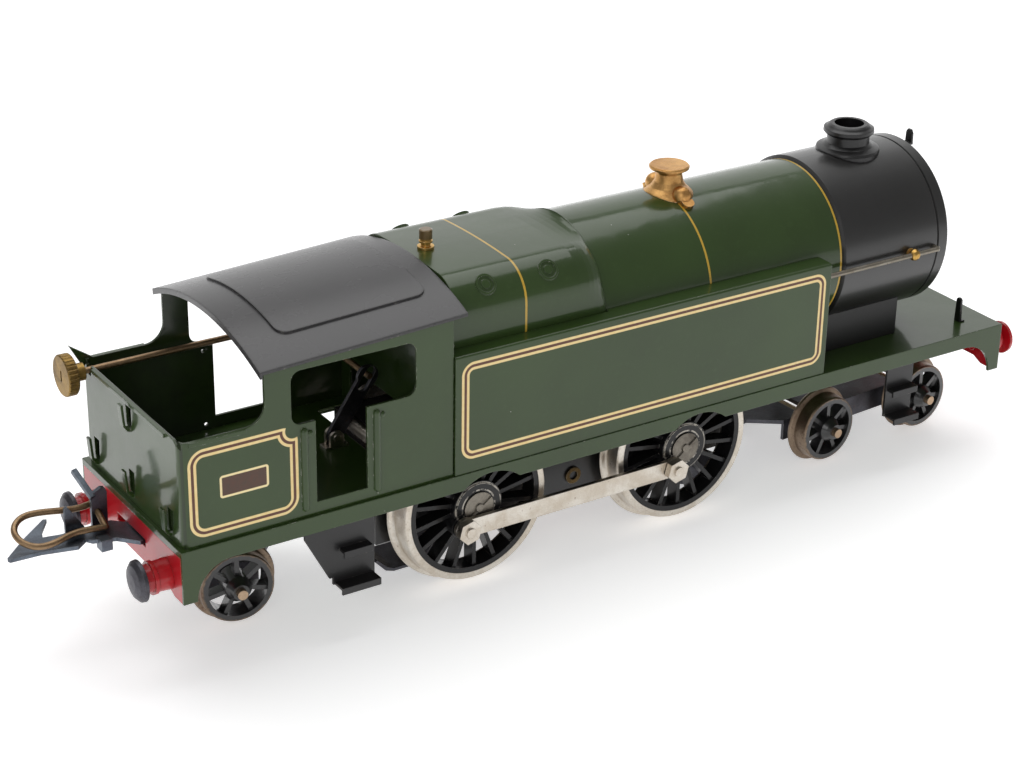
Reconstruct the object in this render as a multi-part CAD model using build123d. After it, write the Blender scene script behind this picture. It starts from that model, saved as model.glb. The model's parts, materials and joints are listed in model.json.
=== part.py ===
from build123d import *
import math
import os

# Tinplate tank locomotive for 32 mm gauge track, 4-4-2 wheels, electric three-rail mechanism.
# Millimetres. X forward, Y to the left, Z up. Z is 0 where the wheel flanges stand on a table.
# X is measured from the middle of the footplate; SHIFT_X moves the finished pieces so that
# X is 0 at the middle of the whole length, coupling and buffers included.
SHIFT_X = 10.0

SHEET = 0.7
RUN = 0.05            # radial running clearance of a shaft in its hole

# Footplate and ends
PLATE_HALF = 126.3
PLATE_SIDE = 28.0
PLATE_Z = 36.4
VALANCE_Z = 32.0
ARCH_R = 12.5
DEEP_Z = 22.8
DEEP_X = 3.6
BUFFER_Y = 19.5
BUFFER_Z = 27.3

# Cab and bunker
BODY_SIDE = 27.1
BUNKER_REAR = -125.1
BUNKER_Z = 63.3
CAB_FRONT = -53.4
PILLAR_X = -103.6
WINDOW = (-96.9, -63.7, 60.8, 74.5)
DOORWAY = (-90.7, -77.1, 39.6)
ROOF_R = 67.5
ROOF_TOP = 84.2
ROOF_TILT = -2.5
ROOF_SIDE = 28.3
ROOF_X = (-105.5, -50.5)

# Tanks, boiler and smokebox
TANK_SIDE = 27.7
TANK_X = (-53.2, 62.0)
TANK_Z = 68.0
SHELF_Y = 22.0
AXIS_Z = 63.4
BOILER_R = 22.6
BOX_HALF = 23.2
BOX_TOP = 84.8
BOX_FOOT = 46.0
BOX_X = (-53.2, -6.0)
BOX_ROUND = 8.0
SMOKE_X = (70.0, 107.0)
SMOKE_R = 23.5
CHIMNEY_X = 88.6
VALVE_X = 28.3
SADDLE_Y = 17.2
SADDLE_FRONT = 96.0
RAIL_HEIGHT = 63.3
RAIL_OUT = 25.4
RAIL_X = (62.0, 101.5)
RAIL_R = 0.7
PILLAR_RAIL_X = 93.0

# Driving wheels
DRIVER_X = (-42.75, 21.05)
DRIVER_TREAD = 20.8
DRIVER_FLANGE = 22.5
FACE_Y = 20.7
BACK_Y = 14.2
CRANK_R = 6.3
CRANK_RIGHT = -140.7
CRANK_LEFT = -50.7
SPOKES = 18
AXLE_R = 2.0
HUB_R = 7.0
RIM_R = 18.8
DISC_R = 4.2
ROD_Y = (22.9, 24.1)
ROD_HALF = 2.45

# Small wheels, bogie and pony truck
SMALL_TREAD = 9.3
SMALL_FLANGE = 10.9
SMALL_AXLE_R = 1.3
BOGIE_PIVOT = 12.0
BOGIE_AXLES = (75.2, 111.8)
BOGIE_SWING = 4.4
PONY_PIVOT = -26.0
PONY_AXLE = -101.0
PONY_SWING = -8.6
TRUCK_Z = (11.5, 12.7)

# Mechanism
FRAME_Y = (11.5, 12.4)
FRAME_X = (-66.8, 43.0)
FRAME_Z = (14.0, 41.3)
ARMATURE_X = -28.5
ARMATURE_Z = 27.18
SPACERS = ((-60.0, 36.0), (8.0, 37.0), (38.0, 36.0))
SHOE_HINGES = (-45.0, 28.0)
MODULE = 0.5
GEAR_TEETH = 48
PINION_TEETH = 12
GEAR_ANGLE = math.atan2(ARMATURE_Z - DRIVER_FLANGE, ARMATURE_X - DRIVER_X[0])
LEVER_X = -70.2
LEVER_Z = 41.8
ROD_Z = 62.0
ROD_SIDE = 22.8
WIRE_R = 0.8

# Coupling
HOOK_Z = 29.6
HOOK_PIVOT = -116.0
LOOP_X = -132.4
LOOP_Y = 5.6
LOOP_Z = 33.9
LOOP_LEAN = 25.0


def block(x0, x1, y0, y1, z0, z1):
    return Pos((x0 + x1) / 2, (y0 + y1) / 2, (z0 + z1) / 2) * Box(abs(x1 - x0), abs(y1 - y0), abs(z1 - z0))


def rod_x(x0, x1, y, z, r):
    return Pos((x0 + x1) / 2, y, z) * Rot(0, 90, 0) * Cylinder(r, abs(x1 - x0))


def rod_y(y0, y1, x, z, r):
    return Pos(x, (y0 + y1) / 2, z) * Rot(90, 0, 0) * Cylinder(r, abs(y1 - y0))


def rod_z(z0, z1, x, y, r):
    return Pos(x, y, (z0 + z1) / 2) * Cylinder(r, abs(z1 - z0))


def side_plate(edges, y0, y1):
    """Face of XZ edges, given as curves at Y = 0, made solid from y0 to y1."""
    face = make_face(Curve() + edges)
    return Pos(0, y0, 0) * extrude(face, amount=y1 - y0, dir=(0, 1, 0))


def side_polygon(points, y0, y1):
    return side_plate([Polyline(*[(x, 0, z) for x, z in points], close=True)], y0, y1)


def plan_polygon(points, z0, z1):
    face = make_face(Polyline(*[(x, y, 0) for x, y in points], close=True))
    return Pos(0, 0, z0) * extrude(face, amount=z1 - z0, dir=(0, 0, 1))


def cross_plate(points, x0, x1):
    """Polygon in YZ made solid from x0 to x1."""
    face = make_face(Polyline(*[(0, y, z) for y, z in points], close=True))
    return Pos(x0, 0, 0) * extrude(face, amount=x1 - x0, dir=(1, 0, 0))


def turned(profile, axis):
    """Solid of revolution of an (offset, radius) profile about a world axis through the origin."""
    if axis == "z":
        face = make_face(Polyline(*[(r, 0, h) for h, r in profile], close=True))
        return revolve(face, Axis.Z)
    if axis == "x":
        face = make_face(Polyline(*[(h, 0, r) for h, r in profile], close=True))
        return revolve(face, Axis.X)
    face = make_face(Polyline(*[(r, h, 0) for h, r in profile], close=True))
    return revolve(face, Axis.Y)


def both_sides(piece):
    return piece + mirror(piece, Plane.XZ)


def swung(piece, pivot_x, angle):
    return Pos(pivot_x, 0, 0) * Rot(0, 0, angle) * Pos(-pivot_x, 0, 0) * piece


# ---------------------------------------------------------------- footplate and ends

def footplate():
    radius = VALANCE_Z - DEEP_Z
    knee = radius * (1 - math.sqrt(0.5))
    near, far = DEEP_X, DEEP_X + radius
    outer = PLATE_HALF
    edges = [
        Polyline((-outer + near, 0, DEEP_Z), (-outer, 0, DEEP_Z), (-outer, 0, PLATE_Z), (outer, 0, PLATE_Z),
                 (outer, 0, DEEP_Z), (outer - near, 0, DEEP_Z)),
        ThreePointArc((outer - near, 0, DEEP_Z), (outer - near - knee, 0, VALANCE_Z - knee),
                      (outer - far, 0, VALANCE_Z)),
        Line((outer - far, 0, VALANCE_Z), (-outer + far, 0, VALANCE_Z)),
        ThreePointArc((-outer + far, 0, VALANCE_Z), (-outer + near + knee, 0, VALANCE_Z - knee),
                      (-outer + near, 0, DEEP_Z)),
    ]
    valance = side_plate(edges, PLATE_SIDE - SHEET, PLATE_SIDE)
    for x in DRIVER_X:
        valance -= rod_y(PLATE_SIDE - 2, PLATE_SIDE + 1, x, DRIVER_FLANGE, ARCH_R)
    top = block(-outer, outer, -PLATE_SIDE, PLATE_SIDE, PLATE_Z - SHEET, PLATE_Z)
    lips = block(-outer, -outer + SHEET, -PLATE_SIDE, PLATE_SIDE, PLATE_Z - 1.6, PLATE_Z)
    lips += mirror(lips, Plane.YZ)
    plate = top + both_sides(valance) + lips
    plate -= block(-64.5, 45.0, -21.9, 21.9, 30, 40)
    for x in (-110.0, 104.0):
        plate -= rod_z(30, 40, x, 0, 1.3)
    return plate


def buffer_beams():
    wide = PLATE_SIDE - SHEET
    top = PLATE_Z - SHEET
    outline = [(-wide, DEEP_Z), (-23, DEEP_Z), (-20, DEEP_Z + 1.4), (20, DEEP_Z + 1.4), (23, DEEP_Z),
               (wide, DEEP_Z), (wide, top), (-wide, top)]
    plate = cross_plate(outline, -PLATE_HALF + SHEET, -PLATE_HALF + 2 * SHEET + 0.4)
    plate += cross_plate([(y, min(z, PLATE_Z - 1.6)) for y, z in outline], -PLATE_HALF, -PLATE_HALF + SHEET)
    plate -= block(-130, -120, -8.0, 8.0, HOOK_Z - 1.0, HOOK_Z + 1.0)
    for y in (-BUFFER_Y, BUFFER_Y):
        plate -= rod_x(-130, -120, y, BUFFER_Z, 1.55)
    return plate + mirror(plate, Plane.YZ)


def buffer_stock():
    profile = [(0, 1.5), (0, 3.9), (3.6, 3.7), (3.6, 4.1), (4.6, 4.1), (4.6, 3.5), (6.6, 3.3), (6.6, 1.5)]
    return turned([(-h, r) for h, r in profile], "x")


def buffer_head(reach, radius):
    """Head and shank; the flat back of the head stands at reach from the beam."""
    dome = [(0, 0), (0, radius), (0.9, radius - 0.1), (1.8, radius - 1.1), (2.4, radius - 2.8), (2.6, 0)]
    return turned([(-reach - h, r) for h, r in dome], "x") + rod_x(2.6, -reach - 0.4, 0, 0, 1.45)


def rear_pair(piece):
    return Pos(-PLATE_HALF, BUFFER_Y, BUFFER_Z) * piece + Pos(-PLATE_HALF, -BUFFER_Y, BUFFER_Z) * piece


def front_pair(piece):
    return mirror(rear_pair(piece), Plane.YZ)


def step_bracket(x0, x1, bottom, treads):
    """Right-hand hanging step: a plate with folded treads standing outward."""
    plate = block(x0, x1, -24.7, -24.0, bottom, PLATE_Z - SHEET)
    for inset, z, reach in treads:
        tread = block(x0 + inset, x1 - inset, -24.7 - reach, -24.2, z, z + 0.7)
        lip = block(x0 + inset, x1 - inset, -24.7 - reach, -24.1 - reach, z - 1.1, z)
        plate += tread + lip
    return plate


def cab_steps():
    right = step_bracket(-85.6, -74.2, 14.4, [(1.8, 23.4, 2.6), (0.4, 14.4, 4.0)])
    brace = side_polygon([(-93.0, PLATE_Z - SHEET), (-85.6, PLATE_Z - SHEET), (-85.6, 16.4), (-86.6, 16.4),
                          (-93.0, 28.5)], -24.7, -24.0)
    return both_sides(right + brace)


def front_steps():
    right = step_bracket(87.8, 97.2, 15.8, [(0.3, 23.6, 2.8), (0.3, 15.8, 4.2)])
    return both_sides(right)


# ---------------------------------------------------------------- cab and bunker

def tilted(piece):
    middle = sum(ROOF_X) / 2
    return Pos(middle, 0, ROOF_TOP) * Rot(0, ROOF_TILT, 0) * Pos(-middle, 0, -ROOF_TOP) * piece


def roof_shell(outer, y_half, x0, x1, thick):
    centre = ROOF_TOP - ROOF_R
    shell = rod_x(x0, x1, 0, centre, outer) - rod_x(x0 - 1, x1 + 1, 0, centre, outer - thick)
    return shell & block(x0, x1, -y_half, y_half, centre + 20, centre + 90)


def under_roof():
    return tilted(rod_x(-115, -45, 0, ROOF_TOP - ROOF_R, ROOF_R - SHEET - 0.02))


def cab_and_bunker():
    outer = block(BUNKER_REAR, CAB_FRONT, -BODY_SIDE, BODY_SIDE, PLATE_Z, 84)
    rear_edges = outer.edges().filter_by(Axis.Z).group_by(Axis.X)[0]
    outer = fillet(rear_edges, 2.2)
    inner = block(BUNKER_REAR + SHEET, CAB_FRONT + 5, -BODY_SIDE + SHEET, BODY_SIDE - SHEET, PLATE_Z - 1, 90)
    inner = fillet(inner.edges().filter_by(Axis.Z).group_by(Axis.X)[0], 1.5)
    shell = outer - inner

    curve = 5.0
    knee = curve * (1 - math.sqrt(0.5))
    above = side_plate([
        Polyline((PILLAR_X, 0, BUNKER_Z + curve), (PILLAR_X, 0, 95), (-135, 0, 95), (-135, 0, BUNKER_Z),
                 (PILLAR_X - curve, 0, BUNKER_Z)),
        ThreePointArc((PILLAR_X - curve, 0, BUNKER_Z), (PILLAR_X - knee, 0, BUNKER_Z + knee),
                      (PILLAR_X, 0, BUNKER_Z + curve)),
    ], -40, 40)
    x0, x1, z0, z1 = WINDOW
    window = block(x0, x1, -40, 40, z0, z1)
    window = fillet(window.edges().filter_by(Axis.Y), 2.6)
    door0, door1, sill = DOORWAY
    doorway = block(door0, door1, -40, 40, sill, z0 + 3)
    shell = shell - above - window - doorway
    shell = shell & (under_roof() + block(-130, -50, -40, 40, 30, BUNKER_Z + 8))

    for x in (-93.8, -74.6):
        rail = rod_z(39.0, 58.8, x, -BODY_SIDE, 0.95) + Pos(x, -BODY_SIDE, 39.0) * Sphere(0.95)
        rail += Pos(x, -BODY_SIDE, 58.8) * Sphere(0.95) + Pos(x + 1.5, -BODY_SIDE, 58.1) * Sphere(0.8)
        rail = rail & block(-130, -50, -40, -BODY_SIDE + 0.3, 30, 70)
        shell += both_sides(rail)
    for z in (37.9, 58.1):
        shell -= rod_y(20, 40, -93.4, z, 0.5)
    shell += both_sides(block(-123.0, PILLAR_X - curve, -BODY_SIDE - 0.6, -BODY_SIDE + 0.1,
                              BUNKER_Z - 1.0, BUNKER_Z))
    shell += block(BUNKER_REAR - 0.6, BUNKER_REAR + 0.1, -20, 20, BUNKER_Z - 1.0, BUNKER_Z)
    for side in (-1, 1):
        corner = cross_plate([(side * 23.6, BUNKER_Z + 0.1), (side * 28, BUNKER_Z + 0.1),
                              (side * 28, BUNKER_Z - 3.0)], BUNKER_REAR - 1, BUNKER_REAR + SHEET)
        shell -= corner
    shell -= block(BUNKER_REAR - 1, BUNKER_REAR + 1.4, ROD_SIDE - 1.2, ROD_SIDE + 1.2, ROD_Z - 1.2, 70)
    for y, z in ((0.4, 55.2), (20.8, 37.8), (0.6, 37.9), (-20.3, 37.4)):
        shell = shell - pressed_slot(y, z) + pressed_tongue(y, z)
    return shell + corner_tab()


def pressed_slot(y, z):
    """Round-bottomed hole left in the rear panel where a lamp iron is pressed out."""
    half = [(1.5, 6.8), (1.3, 1.8), (0.7, 0.6)]
    outline = [(y - a, z + b) for a, b in half] + [(y + a, z + b) for a, b in reversed(half)]
    return cross_plate(outline, BUNKER_REAR - 1, BUNKER_REAR + 1)


def pressed_tongue(y, z):
    """Lamp iron: a strip curling out of the panel and standing just behind it."""
    outline = [(0.3, 0.8), (0.3, 0.0), (-1.0, 0.5), (-1.9, 1.9), (-2.3, 7.4), (-1.7, 7.4), (-1.3, 2.2),
               (-0.7, 1.2)]
    return side_polygon([(BUNKER_REAR + a, z + b) for a, b in outline], y - 0.9, y + 0.9)


def corner_tab():
    """Pointed tab left standing at the bunker's left rear top corner."""
    outline = [(BUNKER_REAR + 0.2, 61.0), (BUNKER_REAR - 3.3, 67.6), (BUNKER_REAR + 3.4, 62.9),
               (BUNKER_REAR + 3.4, 61.0)]
    return side_polygon(outline, BODY_SIDE - SHEET, BODY_SIDE)


def cab_front_plate():
    half = BODY_SIDE - SHEET - 0.02
    plate = block(CAB_FRONT - 1.2, CAB_FRONT - 0.5, -half, half, PLATE_Z, 90)
    plate = plate & under_roof()
    for y in (-15.5, 15.5):
        plate -= rod_x(-60, -50, y, 72.5, 4.2)
    return plate - block(-60, -50, -22.0, 22.0, 30, 46.5)


def cab_roof():
    x0, x1 = ROOF_X
    roof = roof_shell(ROOF_R, ROOF_SIDE, x0, x1, SHEET)
    panel = roof_shell(ROOF_R + 0.5, 19.8, x0 + 9.6, x1 - 5.6, 0.9)
    corners = panel.edges().filter_by(lambda e: e.length < 1.2)
    panel = fillet(corners, 3.0)
    lip_r = roof_shell(ROOF_R, ROOF_SIDE, x0, x0 + SHEET, 1.5)
    return tilted(roof + panel + lip_r)


# ---------------------------------------------------------------- tanks, boiler, smokebox

def right_tank():
    x0, x1 = TANK_X
    side = block(x0, x1, -TANK_SIDE, -TANK_SIDE + SHEET, PLATE_Z, TANK_Z)
    shelf = block(x0, x1, -TANK_SIDE, -SHELF_Y, TANK_Z - SHEET, TANK_Z)
    shelf -= rod_x(x0 - 1, x1 + 1, 0, AXIS_Z, BOILER_R + 0.03)
    shelf -= block(x0 - 1, BOX_X[1] + 0.05, -BOX_HALF - 0.1, 0, TANK_Z - 2, TANK_Z + 1)
    front = block(x1 - SHEET, x1, -TANK_SIDE, -SADDLE_Y - 0.1, PLATE_Z, TANK_Z)
    front -= rod_x(x1 - 3, x1 + 3, 0, AXIS_Z, BOILER_R + 0.1)
    tank = side + shelf + front
    outer_edge = tank.edges().filter_by(Axis.X).sort_by_distance((0, -TANK_SIDE, TANK_Z))[0]
    return fillet(outer_edge, 0.6)


def arch(x, points, half):
    """Face across the boiler at x: six arcs through thirteen points, then straight sides to the foot."""
    at = [(x, y, z) for y, z in points]
    foot = BOX_FOOT - AXIS_Z
    arcs = [ThreePointArc(at[i], at[i + 1], at[i + 2]) for i in range(0, 12, 2)]
    sides = [Polyline(at[12], (x, -half, foot), (x, half, foot), at[0])]
    return Pos(0, 0, AXIS_Z) * make_face(Curve() + arcs + sides)


def mirrored(left):
    """Outline from the left spring over the crown to the right spring."""
    return left + [(-y, z) for y, z in reversed(left[:-1])]


def square_points(half, shoulder):
    """Flat-topped outline with rounded shoulders and a slight crown."""
    top = BOX_TOP - AXIS_Z
    y1, z1 = half - shoulder, top - 0.4
    knee = shoulder * math.sqrt(0.5)
    spring = z1 - shoulder
    return mirrored([(half, 0), (half + 0.05, spring / 2), (half, spring), (y1 + knee, spring + knee),
                     (y1, z1), (y1 / 2, top - 0.1), (0, top)])


def round_points(radius):
    angles = [math.radians(a) for a in (0, 13, 26, 42, 57, 74, 90)]
    return mirrored([(radius * math.cos(a), radius * math.sin(a)) for a in angles])


def blended(share):
    square, circle = square_points(BOX_HALF, 9.5), round_points(BOX_HALF)
    return [(a + share * (c - a), b + share * (d - b)) for (a, b), (c, d) in zip(square, circle)]


def firebox_form():
    """Square-shouldered firebox whose front end rounds over to the boiler."""
    x0, x1 = BOX_X
    start = x1 - 0.6 - BOX_ROUND
    faces = [arch(x0, blended(0.0), BOX_HALF)]
    for t in (0.0, 0.35, 0.55, 0.72, 0.85, 0.94, 0.985, 1.0):
        faces.append(arch(start + BOX_ROUND * t, blended(1 - math.sqrt(1 - t * t)), BOX_HALF))
    faces.append(arch(x1 - 0.25, round_points(BOX_HALF - 0.25), BOX_HALF - 0.25))
    faces.append(arch(x1, round_points(BOX_HALF - 0.6), BOX_HALF - 0.6))
    return loft(faces, ruled=True)


def firebox():
    box = firebox_form()
    x0, x1 = BOX_X
    hollow = block(x0 - 1, x1 - SHEET, -BOX_HALF + SHEET, BOX_HALF - SHEET, 40, AXIS_Z)
    hollow += rod_x(x0 - 1, x1 - SHEET, 0, AXIS_Z, BOX_TOP - AXIS_Z - SHEET)
    box -= hollow
    box -= block(x1 - 3, x1 + 1, -19, 19, 40, AXIS_Z - 4)
    box -= block(x0 - 1, ROOF_X[1] + 0.4, -30, 30, 70, 95) - under_roof()
    for x in (-40.5, -22.6):
        for side in (-1, 1):
            plug = rod_x(-2.2, 0.95, 0, 0, 2.7) - rod_x(0.65, 2, 0, 0, 2.1) + rod_x(0, 0.9, 0, 0, 1.2)
            box += Pos(x, side * 19.9, 81.2) * Rot(0, 0, side * 90) * Rot(0, -42, 0) * plug
    return box


def boiler_barrel():
    x0, x1 = BOX_X[1], SMOKE_X[0]
    return rod_x(x0, x1, 0, AXIS_Z, BOILER_R) - rod_x(x0 - 1, x1 + 1, 0, AXIS_Z, BOILER_R - SHEET)


def smokebox():
    x0, x1 = SMOKE_X
    groove = 102.6
    inner = SMOKE_R - SHEET
    profile = [(x0, BOILER_R), (x0 + 0.3, SMOKE_R - 0.5), (x0 + 0.7, SMOKE_R), (groove, SMOKE_R),
               (groove + 0.2, SMOKE_R - 0.4), (groove + 0.5, SMOKE_R - 0.4), (groove + 0.7, SMOKE_R),
               (x1 - 0.7, SMOKE_R), (x1, SMOKE_R - 0.7), (x1, 17.0), (x1 - SHEET, 17.0),
               (x1 - SHEET, inner), (x0 + SHEET, inner), (x0 + SHEET, 19.0), (x0, 19.0)]
    shell = Pos(0, 0, AXIS_Z) * turned(profile, "x")
    shell -= Pos(CHIMNEY_X, 0, 80) * Cylinder(4.2, 20)
    return shell


def smokebox_door():
    x = SMOKE_X[1]
    profile = [(x + 0.05, 0), (x + 0.05, 18.6), (x + 0.8, 18.6), (x + 1.6, 17.4), (x + 2.6, 12.0),
               (x + 3.1, 6.0), (x + 3.3, 0)]
    door = Pos(0, 0, AXIS_Z) * turned(profile, "x")
    door += rod_x(x + 3.0, x + 6.7, 0, AXIS_Z, 1.3)
    door += Pos(x + 5.0, 0, AXIS_Z) * Rot(20, 0, 0) * Box(0.9, 0.9, 9.0)
    door += Pos(x + 6.1, 0, AXIS_Z) * Rot(-25, 0, 0) * Pos(0, 0, 2.4) * Box(0.9, 0.9, 6.6)
    for z in (-6.5, 6.5):
        door += Pos(x + 1.9, 10.5, AXIS_Z + z) * Box(1.2, 13.0, 1.5)
    return door


def smokebox_saddle():
    saddle = block(TANK_X[1] + 0.02, SADDLE_FRONT, -SADDLE_Y, SADDLE_Y, PLATE_Z, AXIS_Z)
    saddle -= rod_x(50, SMOKE_X[0] + 0.02, 0, AXIS_Z, BOILER_R + 0.02)
    saddle -= rod_x(SMOKE_X[0] - 0.1, 120, 0, AXIS_Z, SMOKE_R + 0.02)
    saddle -= block(TANK_X[1] + 2, SADDLE_FRONT - SHEET, -SADDLE_Y + SHEET, SADDLE_Y - SHEET, 30, AXIS_Z)
    return saddle


def chimney():
    profile = [(-1.2, 4.0), (-1.2, 7.9), (-0.2, 8.7), (0.4, 8.5), (1.0, 6.9), (1.8, 5.8), (4.0, 5.7),
               (4.3, 6.4), (4.9, 6.9), (5.8, 6.8), (6.2, 6.0), (6.7, 5.5), (7.0, 5.0), (7.0, 4.0)]
    body = Pos(CHIMNEY_X, 0, AXIS_Z + SMOKE_R) * turned(profile, "z")
    skirt = Pos(CHIMNEY_X, 0, AXIS_Z + SMOKE_R - 2.2) * (Cylinder(8.6, 4.4) - Cylinder(4.0, 6))
    body += skirt
    return body - rod_x(70, 110, 0, AXIS_Z, SMOKE_R + 0.01)


def safety_valve_cover():
    profile = [(-3.2, 0), (-3.2, 7.2), (-1.0, 7.1), (0.4, 5.7), (1.3, 4.7), (2.8, 3.8), (4.9, 3.4),
               (5.9, 3.7), (6.2, 5.2), (6.7, 5.3), (7.1, 4.9), (7.1, 0)]
    top = AXIS_Z + BOILER_R
    cover = Pos(VALVE_X, 0, top) * turned(profile, "z")
    for side in (-1, 1):
        lump = Pos(VALVE_X, side * 5.9, top + 0.3) * Sphere(2.6)
        feed = Pos(VALVE_X, side * 7.6, top - 2.6) * Rot(side * -28, 0, 0) * Cylinder(1.7, 4.8)
        cover += lump + feed
    return cover - rod_x(0, 50, 0, AXIS_Z, BOILER_R + 0.01)


def whistle():
    profile = [(0.0, 0), (0.0, 2.1), (0.7, 2.1), (0.8, 1.2), (1.6, 1.2), (1.7, 1.7), (2.1, 1.7), (2.2, 1.4),
               (2.5, 1.4), (2.6, 1.65), (4.9, 1.65), (5.1, 1.4), (5.1, 0)]
    return Pos(-45.0, 0, BOX_TOP) * turned(profile, "z")


def boiler_handrails():
    x0, x1 = RAIL_X
    rail = rod_x(x0, x1, -RAIL_OUT, RAIL_HEIGHT, RAIL_R)
    rail += Pos(x1, -RAIL_OUT, RAIL_HEIGHT) * Sphere(RAIL_R)
    rail += rod_y(-RAIL_OUT, -SMOKE_R - 0.05, x1, RAIL_HEIGHT, RAIL_R)
    return both_sides(rail)


def handrail_knobs():
    """Turned pillars: a ball with a cross hole, a short neck and a foot against the smokebox."""
    foot = -SMOKE_R - 0.02
    ball = -RAIL_OUT
    neck = ball + 1.3
    profile = [(foot, 0), (foot, 1.3), (foot - 0.3, 1.3), (foot - 0.4, 0.8), (neck, 0.8), (ball + 0.9, 1.3),
               (ball, 1.65), (ball - 0.9, 1.3), (ball - 1.4, 0.7), (ball - 1.5, 0)]
    x = PILLAR_RAIL_X
    pillar = Pos(x, 0, RAIL_HEIGHT) * turned(profile, "y")
    pillar -= rod_x(x - 3, x + 3, ball, RAIL_HEIGHT, RAIL_R + 0.02)
    return both_sides(pillar)


def lamp_irons():
    """Upright lamp irons: one on the smokebox front, one at each front corner of the footplate."""
    face = SMOKE_X[1] + 0.02
    shelf = AXIS_Z + 20.6
    irons = block(face, 111.3, -1.3, 1.3, shelf, shelf + 0.6)
    irons += cross_plate([(-1.3, shelf), (1.3, shelf), (1.2, shelf + 3.2), (0.6, shelf + 4.2),
                          (-0.6, shelf + 4.2), (-1.2, shelf + 3.2)], 110.7, 111.3)
    for y in (-20.0, 20.0):
        irons += cross_plate([(y - 1.15, PLATE_Z + 0.2), (y + 1.15, PLATE_Z + 0.2), (y + 0.9, PLATE_Z + 6.6),
                              (y + 0.4, PLATE_Z + 7.1), (y - 0.4, PLATE_Z + 7.1), (y - 0.9, PLATE_Z + 6.6)],
                             116.6, 117.2)
        irons += block(116.6, 118.4, y - 1.15, y + 1.15, PLATE_Z, PLATE_Z + 0.4)
    return irons


# ---------------------------------------------------------------- mechanism

def side_frame():
    x0, x1 = FRAME_X
    z0, z1 = FRAME_Z
    plate = block(x0, x1, FRAME_Y[0], FRAME_Y[1], z0, z1)
    plate -= block(x0 - 1, -64.48, 5, 20, PLATE_Z - SHEET - 0.3, z1 + 1)
    for x in DRIVER_X:
        plate -= rod_y(5, 20, x, DRIVER_FLANGE, 3.2)
    plate -= rod_y(5, 20, ARMATURE_X, ARMATURE_Z, 1.2 + RUN)
    for x, z in SPACERS:
        plate -= rod_y(5, 20, x, z, 1.2)
    return plate


def mechanism_side_plates():
    return both_sides(side_frame())


def axle_bushes():
    """Brass eyelets: axle bearings in both side plates and one blank eyelet below the motor."""
    bushes = None
    for x in DRIVER_X:
        bush = rod_y(FRAME_Y[0] - 0.3, FRAME_Y[1] + 0.5, x, DRIVER_FLANGE, 3.18)
        bush -= rod_y(5, 20, x, DRIVER_FLANGE, AXLE_R + RUN)
        bushes = bush if bushes is None else bushes + bush
    ring = rod_y(FRAME_Y[1], FRAME_Y[1] + 0.6, -8.0, 18.0, 2.3)
    ring -= rod_y(5, 20, -8.0, 18.0, 1.2)
    return both_sides(bushes + ring)


def frame_spacers():
    """Cross pins, the bottom stretcher that carries both truck pivots, and the collector posts."""
    half = FRAME_Y[0]
    parts = None
    for x, z in SPACERS:
        pin = rod_y(-half, half, x, z, 1.8) + rod_y(-FRAME_Y[1] - 0.6, FRAME_Y[1] + 0.6, x, z, 1.15)
        parts = pin if parts is None else parts + pin
    stretcher = block(-31.0, 17.0, -half, half, 14.0, 15.0)
    for x in (PONY_PIVOT, BOGIE_PIVOT):
        stretcher += rod_z(10.4, 14.0, x, 0, 1.9)
        stretcher += rod_z(10.0, 10.9, x, 0, 3.2)
    for x in (-14.0, 0.0):
        stretcher += rod_z(8.7, 14.0, x, 0, 1.6)
    return parts + stretcher


def field_magnet():
    iron = block(-39.0, -18.0, -5.0, 5.0, 17.0, 37.5) + block(-18.5, -2.0, -4.0, 4.0, 23.0, 32.0)
    iron -= rod_y(-10, 10, ARMATURE_X, ARMATURE_Z, 8.7)
    iron -= block(-33.0, -24.0, -10, 10, 10.0, 30.0)
    return iron


def field_coil():
    coil = block(-16.5, -4.0, -8.0, 8.0, 19.0, 36.0)
    coil = fillet(coil.edges().filter_by(Axis.X), 3.0)
    return coil - block(-30, 10, -4.0, 4.0, 23.0, 32.0)


def brush_gear():
    plate = block(-37.5, -19.5, -11.4, -10.2, 17.0, 38.0) - rod_y(-20, 0, ARMATURE_X, ARMATURE_Z, 3.0)
    for dz in (-6.0, 6.0):
        plate += rod_y(-10.3, -8.3, ARMATURE_X, ARMATURE_Z + dz * 0.62, 1.3)
    return plate


def armature():
    x, z = ARMATURE_X, ARMATURE_Z
    core = rod_y(-5.5, 5.5, x, z, 8.3)
    for i in range(3):
        angle = math.radians(90 + 120 * i)
        core -= rod_y(-6, 6, x + 8.3 * math.cos(angle), z + 8.3 * math.sin(angle), 1.6)
    core += rod_y(-8.1, -5.5, x, z, 5.6)
    core += rod_y(-FRAME_Y[1], FRAME_Y[1], x, z, 1.2)
    return core


def spur(teeth, turn, width, bore, x, z, y0):
    """Spur gear with straight-sided teeth about the Y direction."""
    pitch = MODULE * teeth / 2
    root = pitch - 1.2 * MODULE
    tip = pitch + 0.9 * MODULE
    step = 2 * math.pi / teeth
    flank = ((root, 0.36), (pitch, 0.21), (tip, 0.10))
    tooth = [(radius, -lag) for radius, lag in flank] + list(reversed(flank))
    points = []
    for i in range(teeth):
        for radius, lag in tooth:
            a = turn + (i + lag) * step
            points.append((x + radius * math.cos(a), z + radius * math.sin(a)))
    return side_polygon(points, y0, y0 + width) - rod_y(y0 - 1, y0 + width + 1, x, z, bore)


def final_gear():
    gear = spur(GEAR_TEETH, GEAR_ANGLE + math.pi / GEAR_TEETH, 2.4, AXLE_R, DRIVER_X[0], DRIVER_FLANGE, 7.4)
    for i in range(5):
        a = math.radians(72 * i + 20)
        gear -= rod_y(5, 12, DRIVER_X[0] + 7 * math.cos(a), DRIVER_FLANGE + 7 * math.sin(a), 2.2)
    return gear


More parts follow.
